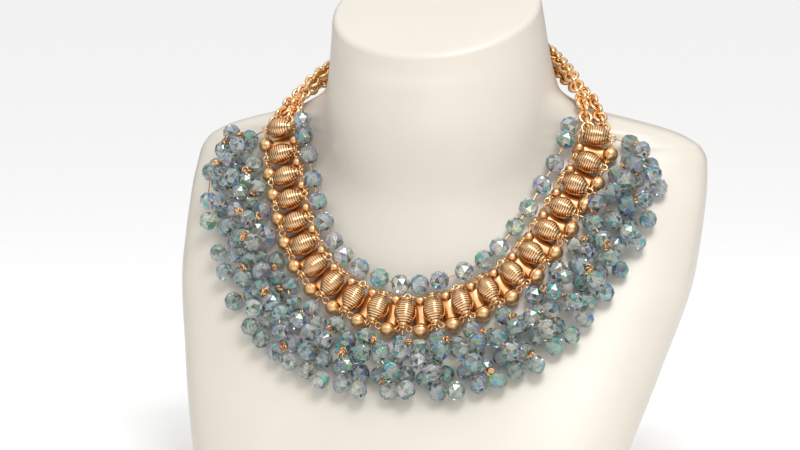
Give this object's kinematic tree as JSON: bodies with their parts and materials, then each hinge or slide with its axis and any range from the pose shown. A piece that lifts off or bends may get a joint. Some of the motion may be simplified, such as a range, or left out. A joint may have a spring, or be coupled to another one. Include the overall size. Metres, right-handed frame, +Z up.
{
  "type": "bib necklace on a neck bust",
  "caption": "Bib necklace of ribbed gold beads edged with faceted glass beads and a fringe of bead clusters, on two-strand link chain, shown on a cream neck bust.",
  "frame": {"origin": "middle of the whole object's footprint, on the bust's flat base", "axes": "+Z up, the chest and the necklace face -Y, +X to the right as seen from the front"},
  "size_m": [0.249, 0.1779, 0.2413],
  "materials": {
    "lacquer": "cream pearl lacquer, gloss",
    "satin_gold": "warm gold plate, finely ribbed",
    "bright_gold": "warm gold plate, polished",
    "crystal_glass": "faceted grey-blue glass with a rainbow coating"
  },
  "bodies": {
    "root": {"neck_bust": "lacquer", "ribbed_bead_01": "satin_gold", "ribbed_bead_02": "satin_gold", "ribbed_bead_03": "satin_gold", "ribbed_bead_04": "satin_gold", "ribbed_bead_05": "satin_gold", "ribbed_bead_06": "satin_gold", "ribbed_bead_07": "satin_gold", "ribbed_bead_08": "satin_gold", "ribbed_bead_09": "satin_gold", "ribbed_bead_10": "satin_gold", "ribbed_bead_11": "satin_gold", "ribbed_bead_12": "satin_gold", "ribbed_bead_13": "satin_gold", "ribbed_bead_14": "satin_gold", "ribbed_bead_15": "satin_gold", "ribbed_bead_16": "satin_gold", "ribbed_bead_17": "satin_gold", "ribbed_bead_18": "satin_gold", "ribbed_bead_19": "satin_gold", "ribbed_bead_20": "satin_gold", "ribbed_bead_21": "satin_gold", "smooth_pins_and_edge_chains": "bright_gold", "inner_crystals_left": "crystal_glass", "inner_crystals_right": "crystal_glass", "crystal_cluster_01": "crystal_glass", "crystal_cluster_02": "crystal_glass", "crystal_cluster_03": "crystal_glass", "crystal_cluster_04": "crystal_glass", "crystal_cluster_05": "crystal_glass", "crystal_cluster_06": "crystal_glass", "crystal_cluster_07": "crystal_glass", "crystal_cluster_08": "crystal_glass", "crystal_cluster_09": "crystal_glass", "crystal_cluster_10": "crystal_glass", "crystal_cluster_11": "crystal_glass", "crystal_cluster_12": "crystal_glass", "crystal_cluster_13": "crystal_glass", "crystal_cluster_14": "crystal_glass", "crystal_cluster_15": "crystal_glass", "crystal_cluster_16": "crystal_glass", "crystal_cluster_17": "crystal_glass", "crystal_cluster_18": "crystal_glass", "crystal_cluster_19": "crystal_glass", "crystal_cluster_20": "crystal_glass", "crystal_cluster_21": "crystal_glass", "neck_chain_left_inner": "bright_gold", "neck_chain_left_outer": "bright_gold", "neck_chain_right_inner": "bright_gold", "neck_chain_right_outer": "bright_gold", "clasp": "bright_gold"}
  },
  "joints": []
}
